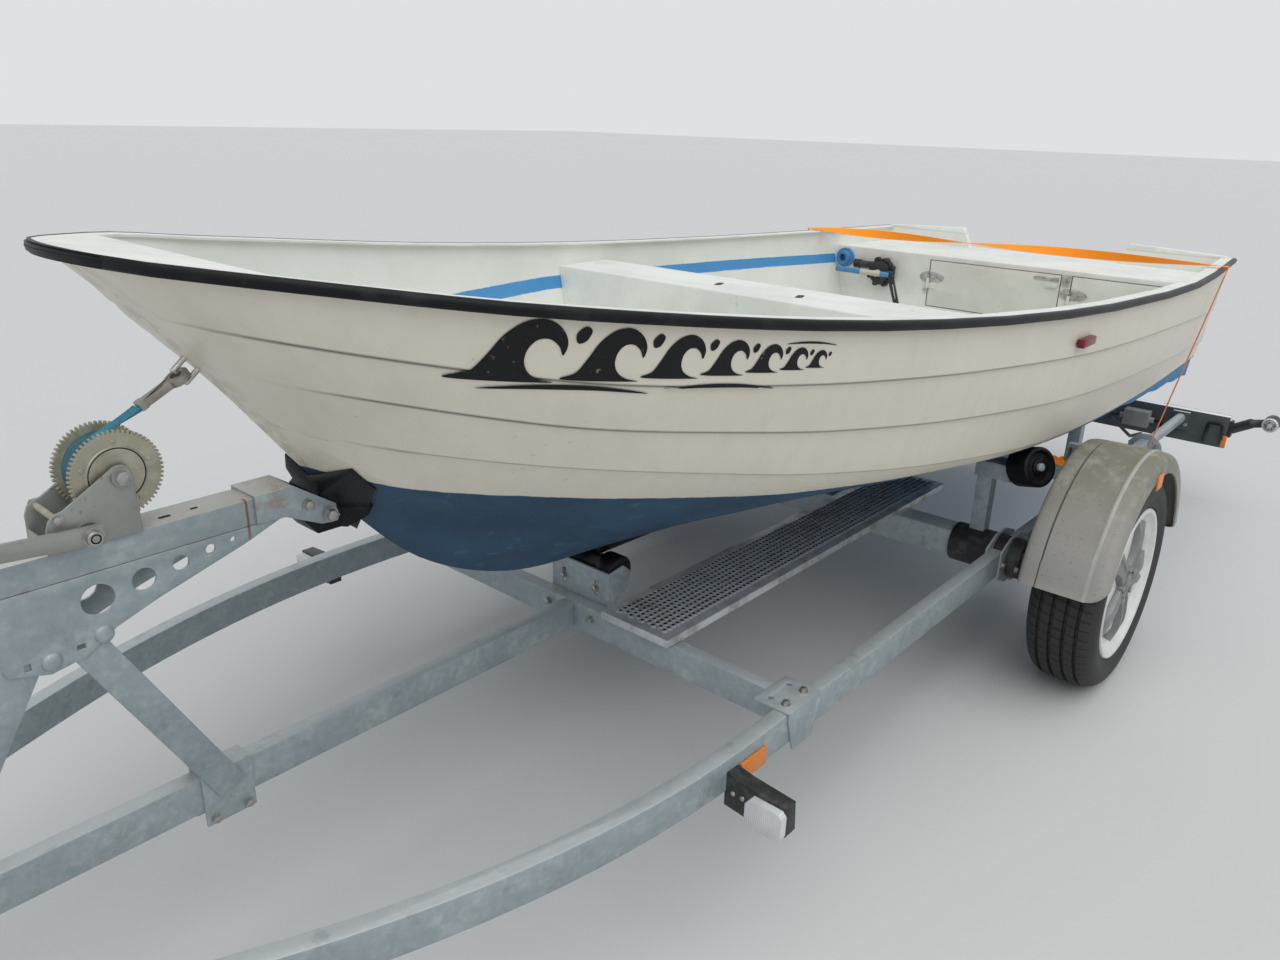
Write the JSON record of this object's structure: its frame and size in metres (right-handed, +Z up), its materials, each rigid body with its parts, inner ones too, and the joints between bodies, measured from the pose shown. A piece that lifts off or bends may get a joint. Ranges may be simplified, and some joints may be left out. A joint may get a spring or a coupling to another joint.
{
  "type": "dinghy on a boat trailer",
  "caption": "Open glass-fibre dinghy with lapped sides, box thwart and aft locker, on a galvanised single-axle road trailer with winch post and jockey wheel.",
  "frame": {"origin": "middle of the bounding box, on the ground", "axes": "+X to the bow and the coupling, +Y to port, +Z up"},
  "size_m": [4.51, 1.6898, 1.1031],
  "materials": {
    "hull_white": "gloss gelcoat over glass fibre",
    "interior_white": "worn gelcoat",
    "black_rubber": "extruded rubber",
    "tyre_rubber": "matt tread rubber",
    "black_plastic": "moulded",
    "grey_plastic": "moulded, dirty",
    "blue_plastic": "moulded",
    "galvanised": "hot-dip galvanised",
    "alloy": "painted cast alloy",
    "plank_alloy": "dimpled sheet",
    "stainless": "polished rod",
    "zinc_yellow": "yellow passivated zinc",
    "winch_grey": "grey paint",
    "blue_webbing": "woven polyester",
    "orange_webbing": "woven polyester",
    "red_lens": "moulded lens",
    "amber_lens": "moulded lens",
    "clear_lens": "moulded lens"
  },
  "bodies": {
    "boat_and_trailer": {"hull_shell": "hull_white", "gunwale_flange": "hull_white", "gunwale_rubber": "black_rubber", "transom_wings": "hull_white", "breasthook": "hull_white", "keel_strip": "black_plastic", "thwart_box": "interior_white", "aft_locker": "interior_white", "locker_hinges": "stainless", "bilge_pump": "black_plastic", "hose_flange": "blue_plastic", "bow_eye": "stainless", "side_markers": "red_lens", "lashing_strap": "orange_webbing", "centre_tube": "galvanised", "side_rails": "galvanised", "cross_tubes": "galvanised", "frame_plates": "galvanised", "axle_beam": "galvanised", "axle_housings": "black_plastic", "axle_cheeks": "galvanised", "swing_arms": "black_plastic", "mudguards": "grey_plastic", "guard_stays": "galvanised", "keel_roller_bracket": "galvanised", "keel_roller": "black_rubber", "side_posts": "galvanised", "side_rollers": "black_rubber", "rear_posts": "galvanised", "walkway_plank": "plank_alloy", "winch_post_tube": "galvanised", "winch_post_gussets": "galvanised", "winch_post_legs": "galvanised", "leg_clamps": "galvanised", "winch_frame": "winch_grey", "winch_drum": "zinc_yellow", "winch_crank": "winch_grey", "winch_strap": "blue_webbing", "winch_hook": "stainless", "bow_block_cap": "galvanised", "bow_block": "black_rubber", "light_bar_tubes": "galvanised", "light_board": "grey_plastic", "rear_lamps": "red_lens", "stalk_lamps": "black_rubber", "junction_box": "grey_plastic", "light_cables": "black_rubber", "front_lamps": "black_plastic", "reflectors": "amber_lens", "coupling_head": "winch_grey", "jockey_clamp": "galvanised", "jockey_tube": "galvanised", "jockey_fork": "galvanised"},
    "wheel_port": {"tyre_port": "tyre_rubber", "rim_port": "alloy"},
    "wheel_starboard": {"tyre_starboard": "tyre_rubber", "rim_starboard": "alloy"},
    "jockey_wheel": {"jockey_wheel": "black_rubber"},
    "door_starboard": {"locker_door_starboard": "interior_white"},
    "door_port": {"locker_door_port": "interior_white"}
  },
  "joints": [
    {"name": "wheel_port_spin", "type": "hinge", "parent": "boat_and_trailer", "child": "wheel_port", "pos_m": [-0.695, 0.734, 0.2625], "axis": [0, 1, 0], "continuous": true},
    {"name": "wheel_starboard_spin", "type": "hinge", "parent": "boat_and_trailer", "child": "wheel_starboard", "pos_m": [-0.695, -0.734, 0.2625], "axis": [0, 1, 0], "continuous": true},
    {"name": "jockey_wheel_spin", "type": "hinge", "parent": "boat_and_trailer", "child": "jockey_wheel", "pos_m": [1.745, -0.196, 0.1], "axis": [0, 1, 0], "continuous": true},
    {"name": "locker_door_starboard_hinge", "type": "hinge", "parent": "boat_and_trailer", "child": "door_starboard", "pos_m": [-1.709, -0.2525, 0.7275], "axis": [0, 0, 1], "range_deg": [-110, 0]},
    {"name": "locker_door_port_hinge", "type": "hinge", "parent": "boat_and_trailer", "child": "door_port", "pos_m": [-1.709, 0.2375, 0.7275], "axis": [0, 0, 1], "range_deg": [-110, 0]}
  ]
}
